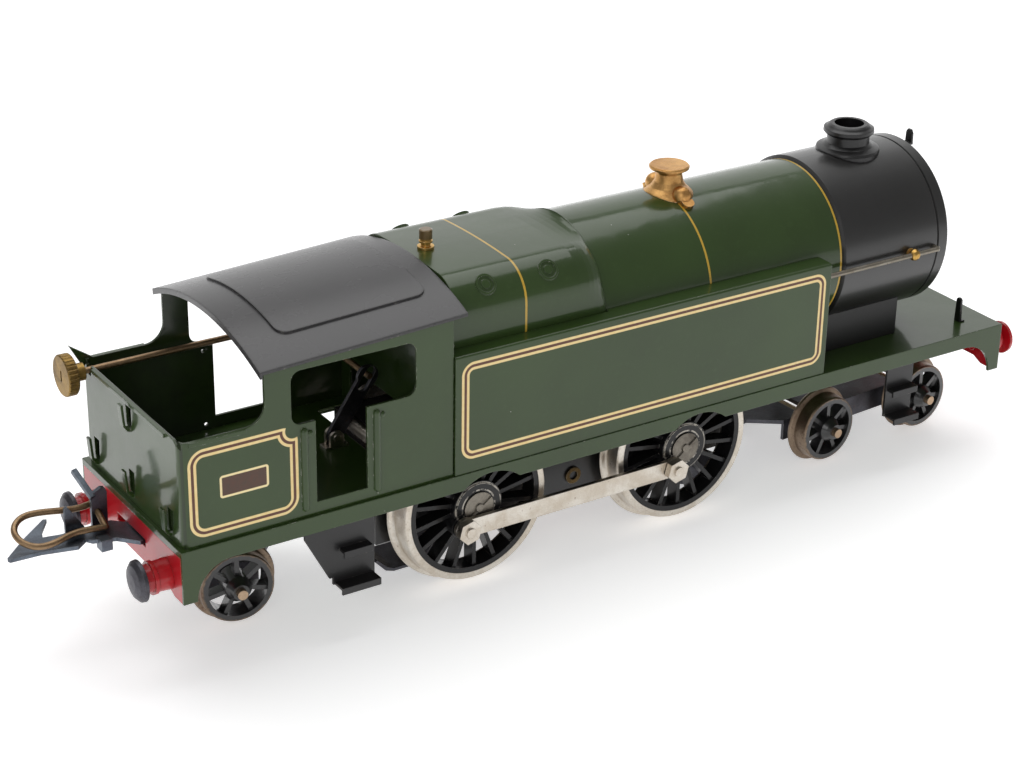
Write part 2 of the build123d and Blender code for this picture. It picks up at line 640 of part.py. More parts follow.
def armature_pinion():
    return spur(PINION_TEETH, GEAR_ANGLE + math.pi, 3.2, 1.2, ARMATURE_X, ARMATURE_Z, 7.0)


def collector_plate():
    """Insulated plate under the mechanism, with the hinge pins of the two collector shoes."""
    plate = block(-47.0, 30.0, -7.4, 7.4, 7.5, 8.7)
    for x in SHOE_HINGES:
        plate += both_sides(block(x - 1.2, x + 1.2, -7.4, -6.7, 5.0, 7.6))
        plate += rod_y(-7.2, 7.2, x, 6.2, 0.6)
    for x in SHOE_HINGES:
        plate -= block(x - 1.9, x + 1.9, -6.6, 6.6, 7.0, 9.0)
    return plate


def collector_shoe(hinge, way):
    """Spoon-shaped rubbing shoe, hinged at one end; way is -1 when it trails to the rear."""
    z = 6.2
    outline = [(0, z + 1.2), (way * 1.0, z + 0.6), (way * 4.4, 2.4), (way * 6.0, 1.9), (way * 13.0, 1.9),
               (way * 15.0, 2.7), (way * 18.0, 5.6), (way * 18.6, 5.1), (way * 15.6, 1.9), (way * 13.2, 1.1),
               (way * 5.6, 1.1), (way * 3.8, 1.7), (way * 0.2, z - 0.9)]
    shoe = Pos(hinge, 0, 0) * side_polygon(outline, -6.3, 6.3)
    shoe += rod_y(-6.3, 6.3, hinge, z, 1.25)
    return shoe - rod_y(-10, 10, hinge, z, 0.6 + RUN)


# ---------------------------------------------------------------- driving wheels and rods

def crank_point(angle):
    a = math.radians(angle)
    return CRANK_R * math.cos(a), CRANK_R * math.sin(a)


def driving_wheel(x, side, angle):
    """Spoked wheel centre on one end of a driving axle, with its crank boss."""
    z = DRIVER_FLANGE
    rim = rod_y(15.4, FACE_Y - 0.1, x, z, RIM_R) - rod_y(10, 30, x, z, 17.4)
    hub = rod_y(BACK_Y, FACE_Y + 0.9, x, z, HUB_R) + rod_y(BACK_Y, FACE_Y + 1.2, x, z, HUB_R - 0.5)
    wheel = rim + hub
    for i in range(SPOKES):
        a = 360 / SPOKES * (i + 0.5)
        spoke = Pos(x, 0, z) * Rot(0, -a, 0) * block(5.5, 18.0, 16.0, FACE_Y - 0.7, -0.55, 0.55)
        wheel += spoke
    px, pz = crank_point(angle)
    boss = rod_y(17.0, FACE_Y + 1.7, x + px, z + pz, 3.1)
    wheel += boss
    wheel -= rod_y(10, 30, x, z, AXLE_R)
    wheel -= rod_y(FACE_Y + 0.9, 30, x, z, DISC_R)
    wheel -= rod_y(15, 30, x + px, z + pz, 1.4)
    return wheel if side > 0 else mirror(wheel, Plane.XZ)


def tyres(x):
    z = DRIVER_FLANGE
    profile = [(15.4, RIM_R), (FACE_Y, RIM_R), (FACE_Y, DRIVER_TREAD - 0.4),
               (FACE_Y - 0.4, DRIVER_TREAD - 0.1), (16.3, DRIVER_TREAD + 0.2), (15.9, DRIVER_TREAD + 0.6),
               (15.6, DRIVER_FLANGE - 0.3), (15.2, DRIVER_FLANGE), (14.7, DRIVER_FLANGE - 0.2),
               (BACK_Y, DRIVER_TREAD), (BACK_Y, 18.0), (15.4, 18.0)]
    tyre = Pos(x, 0, z) * turned(profile, "y")
    return both_sides(tyre)


def driving_axle(x):
    """Axle with a slotted steel disc let into each wheel boss and a small centre stud."""
    z = DRIVER_FLANGE
    axle = rod_y(-FACE_Y - 1.0, FACE_Y + 1.0, x, z, AXLE_R)
    slot = Pos(x, 0, z) * Rot(0, -38, 0) * block(-6, 6, FACE_Y + 1.2, FACE_Y + 3, -0.55, 0.55)
    disc = rod_y(FACE_Y + 0.9, FACE_Y + 1.6, x, z, DISC_R - 0.02) - slot
    disc += rod_y(FACE_Y + 0.9, FACE_Y + 2.0, x, z, 1.1)
    return axle + both_sides(disc)


def crank_pins(x):
    z = DRIVER_FLANGE
    pins = None
    for side, angle in ((-1, CRANK_RIGHT), (1, CRANK_LEFT)):
        px, pz = crank_point(angle)
        pin = rod_y(side * 17.0, side * 26.8, x + px, z + pz, 1.35)
        nut = Rot(0, 0, 15) * extrude(RegularPolygon(3.3, 6), amount=2.0)
        nut = Pos(x + px, side * 24.3, z + pz) * Rot(-90 * side, 0, 0) * nut
        piece = pin + nut
        pins = piece if pins is None else pins + piece
    return pins


def coupling_rod(side, angle):
    px, pz = crank_point(angle)
    x0, x1 = DRIVER_X[0] + px, DRIVER_X[1] + px
    z = DRIVER_FLANGE + pz
    y0, y1 = side * ROD_Y[0], side * ROD_Y[1]
    low, high = min(y0, y1), max(y0, y1)
    rod = block(x0, x1, low, high, z - ROD_HALF, z + ROD_HALF)
    rod += rod_y(low, high, x0, z, ROD_HALF + 0.4) + rod_y(low, high, x1, z, ROD_HALF + 0.4)
    rod -= rod_y(low - 1, high + 1, x0, z, 1.35 + RUN)
    return rod - rod_y(low - 1, high + 1, x1, z, 1.75)


# ---------------------------------------------------------------- small wheels and trucks

def small_wheels(x):
    z = SMALL_FLANGE
    profile = [(20.3, 7.6), (20.3, SMALL_TREAD - 0.3), (19.9, SMALL_TREAD), (16.2, SMALL_TREAD + 0.2),
               (15.8, SMALL_FLANGE - 0.3), (15.3, SMALL_FLANGE), (14.8, SMALL_FLANGE - 0.3), (14.5, 9.2),
               (14.5, 7.6)]
    wheel = Pos(x, 0, z) * turned(profile, "y")
    hub = [(14.5, 0), (14.5, 3.4), (20.6, 3.4), (21.8, 2.6), (22.8, 2.1), (22.8, 0)]
    wheel += Pos(x, 0, z) * turned(hub, "y")
    for i in range(7):
        arm = Pos(x, 0, z) * Rot(0, -360 / 7 * i - 90, 0) * block(3.0, 7.8, 16.4, 19.6, -0.6, 0.6)
        wheel += arm
    wheel -= rod_y(10, 30, x, z, SMALL_AXLE_R)
    return both_sides(wheel)


def small_axle(x):
    return rod_y(-24.0, 24.0, x, SMALL_FLANGE, SMALL_AXLE_R)


def truck_sides(x0, x1, axles):
    sides = both_sides(block(x0, x1, 10.7, 11.6, 6.6, TRUCK_Z[1]))
    for x in axles:
        sides += both_sides(rod_y(10.7, 11.6, x, SMALL_FLANGE, 3.4))
    return sides


def bogie_frame():
    a, b = BOGIE_AXLES
    low, high = TRUCK_Z
    arm = plan_polygon([(BOGIE_PIVOT, -5), (58, -5), (66, -11.6), (b + 7, -11.6), (b + 7, 11.6), (66, 11.6),
                        (58, 5), (BOGIE_PIVOT, 5)], low, high)
    arm += rod_z(low, high, BOGIE_PIVOT, 0, 5)
    arm -= rod_z(0, 20, BOGIE_PIVOT, 0, 1.9 + RUN)
    for x in BOGIE_AXLES:
        arm -= block(x - 2.2, x + 2.2, -9.8, 9.8, 5, 20)
    frame = arm + truck_sides(66, b + 7, BOGIE_AXLES)
    for x in BOGIE_AXLES:
        frame -= rod_y(-20, 20, x, SMALL_FLANGE, SMALL_AXLE_R + RUN)
    return swung(frame, BOGIE_PIVOT, BOGIE_SWING)


def pony_frame():
    x = PONY_AXLE
    low, high = TRUCK_Z
    arm = plan_polygon([(PONY_PIVOT, -3.2), (x + 14, -3.2), (x + 8, -11.6), (x - 7, -11.6), (x - 7, 11.6),
                        (x + 8, 11.6), (x + 14, 3.2), (PONY_PIVOT, 3.2)], low, high)
    arm += rod_z(low, high, PONY_PIVOT, 0, 4.5)
    arm -= rod_z(0, 20, PONY_PIVOT, 0, 1.9 + RUN)
    arm -= block(x - 2.2, x + 2.2, -9.8, 9.8, 5, 20)
    frame = arm + truck_sides(x - 7, x + 8, (x,)) - rod_y(-20, 20, x, SMALL_FLANGE, SMALL_AXLE_R + RUN)
    return swung(frame, PONY_PIVOT, PONY_SWING)


# ---------------------------------------------------------------- reversing gear and coupling

def control_rod():
    end = -60.5
    bend = 2.4
    path = FilletPolyline((-129.4, ROD_SIDE, ROD_Z), (end, ROD_SIDE, ROD_Z), (end, ROD_SIDE, 53.5),
                          (end, 1.0, 53.5), radius=bend)
    return sweep(Plane(path @ 0, z_dir=path % 0) * Circle(WIRE_R), path=path)


def control_knob():
    profile = [(-132.2, 0), (-132.2, 4.9), (-131.9, 5.2), (-129.7, 5.2), (-129.4, 4.9), (-129.4, 2.2),
               (-126.6, 2.2), (-126.6, WIRE_R), (-130.6, WIRE_R), (-130.6, 0)]
    knob = Pos(0, ROD_SIDE, ROD_Z) * turned(profile, "x")
    for i in range(30):
        a = 2 * math.pi * i / 30
        knob -= rod_x(-133, -129.2, ROD_SIDE + 5.35 * math.cos(a), ROD_Z + 5.35 * math.sin(a), 0.3)
    return knob - block(-133, -131.4, ROD_SIDE - 0.4, ROD_SIDE + 0.4, ROD_Z - 1.4, ROD_Z + 1.4)


def reversing_lever():
    """Flat slotted lever, leaning forward; the bent end of the control rod works in its slot."""
    z = LEVER_Z - 2.6
    lever = block(-2.2, 2.2, 1.6, 2.6, 0, 17.0) + rod_y(1.6, 2.6, 0, 17.0, 2.9) + rod_y(1.6, 2.6, 0, 0, 1.9)
    lever = lever - block(-5, 5, 0, 5, -5, 0) + rod_y(1.6, 2.6, 0, 0, 1.9)
    lever -= block(-1.35, 1.35, 0, 5, 14.2, 18.4) + rod_y(0, 5, 0, 14.2, 1.35) + rod_y(0, 5, 0, 18.4, 1.35)
    lever -= rod_y(0, 5, 0, 0, 1.0 + RUN)
    lean = math.degrees(math.atan2(-60.5 - LEVER_X, 53.5 - z))
    return Pos(LEVER_X, 0, z) * Rot(0, lean, 0) * lever


def lever_bracket():
    """Small forked bracket on the cab floor with the lever's pivot pin."""
    z = LEVER_Z - 2.6
    foot = block(LEVER_X - 3.2, LEVER_X + 3.2, 0.4, 3.8, PLATE_Z, PLATE_Z + 0.6)
    ears = block(LEVER_X - 1.9, LEVER_X + 1.9, 0.4, 1.3, PLATE_Z, z) + rod_y(0.4, 1.3, LEVER_X, z, 1.9)
    ears += block(LEVER_X - 1.9, LEVER_X + 1.9, 2.9, 3.8, PLATE_Z, z) + rod_y(2.9, 3.8, LEVER_X, z, 1.9)
    return foot + ears + rod_y(0.2, 4.0, LEVER_X, z, 0.98)


def rear_coupling():
    """Drawplate with a barbed hook, a three-cornered upstand, a tall pivot ear and a square arm."""
    outline = [(HOOK_PIVOT + 4, -3.5), (HOOK_PIVOT + 4, 3.5), (-121.0, 4.6), (-126.5, 3.5), (-129.0, 6.0),
               (-141.9, 5.6), (-146.0, 6.4), (-145.0, 9.4), (-141.8, 14.2), (-142.6, 14.6), (-150.2, 8.0),
               (-156.8, 1.3), (-156.4, 0.5), (-149.0, 0.2), (-140.5, -1.8), (-137.6, 0.6), (-136.6, -0.9),
               (-131.3, -2.6), (-127.2, -7.1), (-121.0, -6.6)]
    low, high = HOOK_Z - 0.5, HOOK_Z + 0.5
    plate = plan_polygon(outline, low, high)
    plate += rod_z(low, high, HOOK_PIVOT, 0, 4.6)
    plate -= rod_z(0, 50, HOOK_PIVOT, 0, 1.5 + RUN)
    upstand = side_polygon([(-141.1, low), (-136.4, low), (-136.4, 31.4), (-140.3, 37.6), (-141.1, 37.2)],
                           4.1, 4.9)
    ear = side_polygon([(-133.9, low), (-130.0, low), (-129.8, 38.6), (-130.4, 39.7), (-131.3, 39.9),
                        (-133.2, 38.9), (-133.9, 38.2)], LOOP_Y - 0.5, LOOP_Y + 0.5)
    ear -= Pos(LOOP_X, LOOP_Y, LOOP_Z) * Rot(90 + LOOP_LEAN, 0, 0) * Cylinder(WIRE_R + RUN, 6)
    arm = Pos(-134.2, 8.6, 40.0) * Rot(-58, 0, 0) * Rot(0, -10, 0) * Box(1.3, 1.3, 8.6)
    stud = block(-135.4, -132.6, -3.4, -0.4, HOOK_Z - 2.0, HOOK_Z + 0.9)
    return plate + upstand + ear + arm + stud


def coupling_loop():
    """Closed wire link; its cross bar turns in the pivot ear."""
    points = [(0, 2.5), (-6.5, 2.3), (-12.7, 3.5), (-18.0, 3.2), (-20.6, 0.4), (-20.2, -3.2), (-17.6, -5.6),
              (-13.0, -5.9), (-7.4, -4.7), (-3.4, -4.9), (0, -5.2)]
    path = Spline(*[(x, y, 0) for x, y in points])
    wire = sweep(Plane(path @ 0, z_dir=path % 0) * Circle(WIRE_R), path=path)
    wire += rod_y(points[-1][1], points[0][1], 0, 0, WIRE_R)
    for x, y in (points[0], points[-1]):
        wire += Pos(x, y, 0) * Sphere(WIRE_R)
    return Pos(LOOP_X, LOOP_Y, LOOP_Z) * Rot(LOOP_LEAN, 0, 0) * wire


def coupling_pin():
    top = PLATE_Z - SHEET
    pin = rod_z(HOOK_Z - 2.2, top, HOOK_PIVOT, 0, 1.5)
    pin += rod_z(HOOK_Z - 3.2, HOOK_Z - 1.4, HOOK_PIVOT, 0, 2.8)
    return pin + rod_z(HOOK_Z + 1.4, top, HOOK_PIVOT, 0, 3.2)


# ---------------------------------------------------------------- pieces

REAR_X, FRONT_X = DRIVER_X
BOGIE_A, BOGIE_B = BOGIE_AXLES


def wheel_centres(x):
    return driving_wheel(x, 1, CRANK_LEFT) + driving_wheel(x, -1, CRANK_RIGHT)


def bogie(piece):
    return swung(piece, BOGIE_PIVOT, BOGIE_SWING)


def pony(piece):
    return swung(piece, PONY_PIVOT, PONY_SWING)


right = right_tank()
PIECES = {
    "footplate": footplate(),
    "buffer_beams": buffer_beams(),
    "buffer_stocks": rear_pair(buffer_stock()) + front_pair(buffer_stock()),
    "rear_buffer_heads": rear_pair(buffer_head(6.7, 5.1)),
    "front_buffer_heads": front_pair(buffer_head(8.1, 4.7)),
    "cab_steps": cab_steps(),
    "front_steps": front_steps(),
    "cab_and_bunker": cab_and_bunker(),
    "cab_front_plate": cab_front_plate(),
    "cab_roof": cab_roof(),
    "right_tank": right,
    "left_tank": mirror(right, Plane.XZ),
    "firebox": firebox(),
    "boiler_barrel": boiler_barrel(),
    "smokebox": smokebox(),
    "smokebox_door": smokebox_door(),
    "smokebox_saddle": smokebox_saddle(),
    "chimney": chimney(),
    "safety_valve_cover": safety_valve_cover(),
    "whistle": whistle(),
    "boiler_handrails": boiler_handrails(),
    "handrail_knobs": handrail_knobs(),
    "lamp_irons": lamp_irons(),
    "mechanism_side_plates": mechanism_side_plates(),
    "axle_bushes": axle_bushes(),
    "frame_spacers": frame_spacers(),
    "field_magnet": field_magnet(),
    "field_coil": field_coil(),
    "brush_gear": brush_gear(),
    "collector_plate": collector_plate(),
    "lever_bracket": lever_bracket(),
    "coupling_pin": coupling_pin(),
    "rear_axle": driving_axle(REAR_X),
    "rear_wheel_centres": wheel_centres(REAR_X),
    "rear_tyres": tyres(REAR_X),
    "rear_crank_pins": crank_pins(REAR_X),
    "final_gear": final_gear(),
    "front_axle": driving_axle(FRONT_X),
    "front_wheel_centres": wheel_centres(FRONT_X),
    "front_tyres": tyres(FRONT_X),
    "front_crank_pins": crank_pins(FRONT_X),
    "armature": armature(),
    "armature_pinion": armature_pinion(),
    "right_coupling_rod": coupling_rod(-1, CRANK_RIGHT),
    "left_coupling_rod": coupling_rod(1, CRANK_LEFT),
    "bogie_frame": bogie_frame(),
    "bogie_trailing_axle": bogie(small_axle(BOGIE_A)),
    "bogie_trailing_wheels": bogie(small_wheels(BOGIE_A)),
    "bogie_leading_axle": bogie(small_axle(BOGIE_B)),
    "bogie_leading_wheels": bogie(small_wheels(BOGIE_B)),
    "pony_frame": pony_frame(),
    "pony_axle": pony(small_axle(PONY_AXLE)),
    "pony_wheels": pony(small_wheels(PONY_AXLE)),
    "rear_collector_shoe": collector_shoe(SHOE_HINGES[0], -1),
    "front_collector_shoe": collector_shoe(SHOE_HINGES[1], 1),
    "control_rod": control_rod(),
    "control_knob": control_knob(),
    "reversing_lever": reversing_lever(),
    "rear_coupling": rear_coupling(),
    "coupling_loop": coupling_loop(),
}

os.makedirs("parts", exist_ok=True)
for name, piece in PIECES.items():
    export_step(Pos(SHIFT_X, 0, 0) * piece, "parts/" + name + ".step")
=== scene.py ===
import json
import math

import bpy
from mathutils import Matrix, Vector

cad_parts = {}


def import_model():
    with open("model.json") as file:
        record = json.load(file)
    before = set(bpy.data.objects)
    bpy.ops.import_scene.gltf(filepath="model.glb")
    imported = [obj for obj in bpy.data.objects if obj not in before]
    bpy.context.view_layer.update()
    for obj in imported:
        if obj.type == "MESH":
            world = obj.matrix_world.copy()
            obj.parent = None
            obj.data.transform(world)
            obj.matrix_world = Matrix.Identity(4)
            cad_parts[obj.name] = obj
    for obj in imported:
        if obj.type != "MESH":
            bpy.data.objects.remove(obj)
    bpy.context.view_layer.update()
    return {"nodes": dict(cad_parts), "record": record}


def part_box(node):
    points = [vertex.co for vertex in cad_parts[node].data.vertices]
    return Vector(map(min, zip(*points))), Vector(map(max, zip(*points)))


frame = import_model()
NODES = frame["nodes"]

# The frame is in metres, X forward, Z up.
# Lengths in the materials are in millimetres, with X measured from the footplate's middle.
FOOT_LOW, FOOT_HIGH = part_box("footplate")
SHIFT = (FOOT_LOW.x + FOOT_HIGH.x) / 2 * 1000


def linear(r, g, b):
    """Linear colour of an 8-bit display colour."""
    def one(c):
        c = c / 255
        return c / 12.92 if c <= 0.04045 else ((c + 0.055) / 1.055) ** 2.4
    return (one(r), one(g), one(b), 1.0)


class Graph:
    """A node material with shorthand for the maths between its nodes."""

    def __init__(self, name):
        self.mat = bpy.data.materials.new(name)
        self.mat.use_nodes = True
        self.tree = self.mat.node_tree
        self.tree.nodes.clear()
        out = self.node("ShaderNodeOutputMaterial")
        self.bsdf = self.node("ShaderNodeBsdfPrincipled")
        self.tree.links.new(self.bsdf.outputs["BSDF"], out.inputs["Surface"])
        self.place = self.node("ShaderNodeTexCoord").outputs["Object"]
        scaled = self.node("ShaderNodeVectorMath", operation="SCALE")
        self.put(scaled.inputs[0], self.place)
        scaled.inputs["Scale"].default_value = 1000.0
        self.mm = scaled.outputs[0]
        split = self.node("ShaderNodeSeparateXYZ")
        self.put(split.inputs[0], self.mm)
        self.x = self.add(split.outputs[0], -SHIFT)
        self.y = split.outputs[1]
        self.z = split.outputs[2]

    def node(self, kind, **settings):
        made = self.tree.nodes.new(kind)
        for key, value in settings.items():
            setattr(made, key, value)
        return made

    def put(self, socket, value):
        if isinstance(value, bpy.types.NodeSocket):
            self.tree.links.new(value, socket)
        else:
            socket.default_value = value

    def math(self, operation, a, b=0.0, c=0.0, clamp=False):
        made = self.node("ShaderNodeMath", operation=operation, use_clamp=clamp)
        for socket, value in zip(made.inputs, (a, b, c)):
            self.put(socket, value)
        return made.outputs[0]

    def add(self, a, b):
        return self.math("ADD", a, b)

    def sub(self, a, b):
        return self.math("SUBTRACT", a, b)

    def mul(self, a, b):
        return self.math("MULTIPLY", a, b)

    def high(self, a, b):
        return self.math("MAXIMUM", a, b)

    def low(self, a, b):
        return self.math("MINIMUM", a, b)

    def size(self, a):
        return self.math("ABSOLUTE", a)

    def length(self, a, b):
        return self.math("SQRT", self.add(self.math("POWER", a, 2.0), self.math("POWER", b, 2.0)))

    def step(self, value, start, end):
        """0 before start, 1 after end, straight between; start may be the larger."""
        made = self.node("ShaderNodeMapRange")
        self.put(made.inputs["Value"], value)
        made.inputs["From Min"].default_value = start
        made.inputs["From Max"].default_value = end
        return made.outputs["Result"]

    def noise(self, scale, detail=3.0, rough=0.55, stretch=None, distort=0.0):
        made = self.node("ShaderNodeTexNoise")
        where = self.mm
        if stretch:
            vec = self.node("ShaderNodeVectorMath", operation="MULTIPLY")
            self.put(vec.inputs[0], self.mm)
            vec.inputs[1].default_value = stretch
            where = vec.outputs[0]
        self.put(made.inputs["Vector"], where)
        made.inputs["Scale"].default_value = scale
        made.inputs["Detail"].default_value = detail
        made.inputs["Roughness"].default_value = rough
        made.inputs["Distortion"].default_value = distort
        return made.outputs["Fac"]

    def cells(self, scale):
        made = self.node("ShaderNodeTexVoronoi")
        self.put(made.inputs["Vector"], self.mm)
        made.inputs["Scale"].default_value = scale
        return made.outputs["Distance"]

    def mix(self, factor, a, b):
        made = self.node("ShaderNodeMix", data_type="RGBA")
        self.put(made.inputs[0], factor)
        self.put(made.inputs[6], a)
        self.put(made.inputs[7], b)
        return made.outputs[2]

    def edges(self, radius_mm, samples=4):
        """How sharply the surface turns near here: 0 on a flat, towards 1 on an edge."""
        bevel = self.node("ShaderNodeBevel", samples=samples)
        bevel.inputs["Radius"].default_value = radius_mm / 1000
        flat = self.node("ShaderNodeNewGeometry").outputs["Normal"]
        dot = self.node("ShaderNodeVectorMath", operation="DOT_PRODUCT")
        self.put(dot.inputs[0], bevel.outputs[0])
        self.put(dot.inputs[1], flat)
        return self.sub(1.0, dot.outputs["Value"]), bevel.outputs[0]

    def bump(self, height, distance_mm, normal=None):
        made = self.node("ShaderNodeBump")
        made.inputs["Strength"].default_value = 1.0
        made.inputs["Distance"].default_value = distance_mm / 1000
        self.put(made.inputs["Height"], height)
        if normal is not None:
            self.put(made.inputs["Normal"], normal)
        self.put(self.bsdf.inputs["Normal"], made.outputs[0])
        return made.outputs[0]

    def set(self, **values):
        for key, value in values.items():
            self.put(self.bsdf.inputs[key.replace("_", " ")], value)


def rounded_frame(g, u, v, box, radius):
    """Signed distance, in mm, from the outline of a rounded rectangle: negative inside."""
    u0, u1, v0, v1 = box
    du = g.add(g.size(g.add(u, -(u0 + u1) / 2)), radius - (u1 - u0) / 2)
    dv = g.add(g.size(g.add(v, -(v0 + v1) / 2)), radius - (v1 - v0) / 2)
    outside = g.length(g.high(du, 0.0), g.high(dv, 0.0))
    return g.add(g.add(outside, g.low(g.high(du, dv), 0.0)), -radius)


def within(g, distance, half):
    """1 where the distance is inside plus or minus half a width, with a thin soft edge."""
    return g.step(g.size(distance), half + 0.05, half - 0.05)


GREEN = linear(50, 72, 29)
GREEN_DARK = linear(44, 64, 24)
GREEN_PALE = linear(58, 79, 38)
CREAM = linear(255, 234, 176)
CREAM_DEEP = linear(244, 206, 128)
MAROON = linear(92, 50, 30)
GOLD = linear(214, 176, 64)
GOLD_DEEP = linear(190, 150, 54)
# Painted shade: a darker olive for the cab's inner faces, standing in for the dimmer light within the
# cab.
INSIDE_SHADE_GREEN = linear(34, 40, 26)
TIN = linear(190, 190, 178)
DUST = linear(150, 148, 136)

# Lined panels, as X from, X to, Z from, Z to.
BUNKER_PANEL = (-122.3, -96.5, 39.6, 59.9)
NUMBER_PLATE = (-115.3, -103.4, 47.5, 52.7)
NOTCH_R = 3.2
LINING_HALF = 1.05
LINING_CORE_HALF = 0.36
BOILER_BANDS = ((26.3, 26.9), (69.3, 69.9))
FIREBOX_BANDS = ((-30.8, -30.2),)


def enamel(name, base, dark, pale, inside=None, lining=None, bands=(), rough=0.08, wear=0.5,
           wave=0.008):
    """Stoved enamel on tinplate: clear top coat, faint waves, fine scuffs, specks, worn edges, painted
    highlights along the sharp edges and, where a face mask is given, painted shade on the cab's inner
    faces.
    """
    g = Graph(name)
    drift = g.noise(0.03, 2.0)
    mottle = g.noise(0.5, 4.0, 0.6)
    colour = g.mix(g.step(drift, 0.35, 0.65), dark, base)
    colour = g.mix(g.mul(g.step(mottle, 0.55, 0.8), 0.4), colour, pale)
    if lining:
        colour = lining(g, colour)
    for start, end in bands:
        line = g.mul(g.step(g.x, start - 0.04, start + 0.04), g.step(g.x, end + 0.04, end - 0.04))
        gold = g.mix(g.noise(1.2, 3.0), GOLD, GOLD_DEEP)
        colour = g.mix(line, colour, gold)
    # Painted shade: the masked inner faces take the darker olive mixed with the dark green.
    if inside:
        colour = g.mix(inside(g), colour, g.mix(g.noise(0.2, 3.0), INSIDE_SHADE_GREEN, GREEN_DARK))
    sharp, soft_normal = g.edges(0.35)
    ragged = g.noise(0.9, 5.0, 0.7)
    chip = g.mul(g.step(sharp, 0.14, 0.30), g.step(ragged, 0.62 - 0.08 * wear, 0.66 - 0.06 * wear))
    speck = g.mul(g.step(g.cells(0.35), 0.055, 0.035),
                  g.step(g.noise(0.07, 2.0), 0.62, 0.66))
    streaks = g.noise(0.5, 6.0, 0.75, stretch=(0.25, 0.25, 1.6), distort=1.2)
    scuff = g.mul(g.step(streaks, 0.70, 0.78), 0.35)
    colour = g.mix(scuff, colour, DUST)
    colour = g.mix(g.mul(speck, 0.8), colour, TIN)
    # Painted highlight: sharp edges are lightened towards a pale green-grey, standing in for light
    # caught on the rounded enamel edges.
    rim = g.mul(g.step(sharp, 0.08, 0.35), g.step(g.noise(0.6, 4.0, 0.6), 0.38, 0.62))
    colour = g.mix(g.mul(rim, 0.35), colour, linear(150, 158, 140))
    colour = g.mix(chip, colour, TIN)
    haze = g.add(g.mul(g.step(g.noise(0.12, 4.0, 0.65), 0.4, 0.75), 0.09), g.mul(scuff, 0.5))
    g.set(Base_Color=colour, Roughness=g.add(rough + 0.22, g.mul(mottle, 0.12)), IOR=1.45,
          Specular_IOR_Level=0.2, Coat_Weight=0.85, Coat_Roughness=g.add(rough, haze),
          Coat_IOR=1.46, Metallic=g.mul(chip, 0.8))
    ripple = g.add(g.mul(g.noise(0.05, 2.0), 3.0), g.mul(g.noise(1.1, 2.0), 0.14))
    g.put(g.bsdf.inputs["Coat Normal"], g.bump(ripple, wave * 8, soft_normal))
    return g.mat


def tank_lining(g, colour):
    low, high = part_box("right_tank")
    x0, x1 = low.x * 1000 - SHIFT, high.x * 1000 - SHIFT
    distance = rounded_frame(g, g.x, g.z, (x0 + 2.8, x1 - 2.6, 41.1, 64.9), 2.4)
    face = g.step(g.size(g.y), high_side("right_tank") - 0.3, high_side("right_tank") - 0.25)
    return line_on(g, colour, distance, face)


def high_side(node):
    low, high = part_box(node)
    return max(abs(low.y), abs(high.y)) * 1000


def line_on(g, colour, distance, face):
    """Cream, maroon and cream line following a signed distance, on one face."""
    cream = g.mix(g.noise(0.8, 4.0), CREAM, CREAM_DEEP)
    band = g.mul(within(g, distance, LINING_HALF), face)
    core = g.mul(within(g, distance, LINING_CORE_HALF), face)
    colour = g.mix(band, colour, cream)
    return g.mix(core, colour, MAROON)


def bunker_lining(g, colour):
    box = BUNKER_PANEL
    distance = rounded_frame(g, g.x, g.z, box, 3.0)
    notch = g.length(g.add(g.x, -box[1]), g.add(g.z, -box[3]))
    distance = g.high(distance, g.sub(NOTCH_R, notch))
    face = g.step(g.size(g.y), 26.75, 26.85)
    colour = line_on(g, colour, distance, face)
    plate = rounded_frame(g, g.x, g.z, NUMBER_PLATE, 0.5)
    ground = g.mul(g.step(plate, 0.05, -0.05), face)
    colour = g.mix(ground, colour, g.mix(g.noise(0.7, 3.0), MAROON, linear(64, 50, 36)))
    return g.mix(g.mul(within(g, plate, 0.28), face), colour, CREAM)


# Mask of the cab's inner side and rear faces, where the painted shade goes.
def cab_inner_faces_shade(g):
    sides = g.step(g.size(g.y), 26.75, 26.65)
    rear = g.step(g.x, -124.75, -124.7)
    return g.mul(sides, rear)


def metal(name, colour, second, rough=0.3, metallic=1.0, stain=0.5, scratch=(1.0, 1.0, 1.0),
          rust=None, grain=0.02, rust_at=0.60, paint=None):
    """Bare or plated metal with stains, fine scratches, lighter corners, and rust or leftover paint."""
    g = Graph(name)
    clouds = g.noise(0.16, 4.0, 0.6, distort=0.4)
    fine = g.noise(2.2, 4.0, 0.6, stretch=scratch)
    tone = g.mix(g.mul(g.step(clouds, 0.38, 0.62), stain), colour, second)
    tone = g.mix(g.mul(g.step(fine, 0.45, 0.75), 0.35), tone, second)
    if rust:
        spot = g.mul(g.step(g.noise(0.8, 5.0, 0.7), rust_at, rust_at + 0.08), 0.75)
        tone = g.mix(spot, tone, rust)
        metallic = g.sub(metallic, g.mul(spot, metallic * 0.8))
    sharp, soft_normal = g.edges(0.25)
    tone = g.mix(g.mul(g.step(sharp, 0.1, 0.4), 0.35), tone, linear(225, 220, 210))
    if paint:
        cover = paint(g)
        tone = g.mix(cover, tone, g.mix(fine, linear(16, 16, 17), linear(30, 29, 30)))
        metallic = g.mul(g.sub(1.0, cover), metallic)
        g.set(Coat_Weight=cover, Coat_Roughness=0.12)
    g.set(Base_Color=tone, Metallic=metallic, Roughness=g.add(rough, g.mul(fine, 0.22)))
    g.bump(g.add(g.mul(fine, 0.5), clouds), grain * 5, soft_normal)
    return g.mat


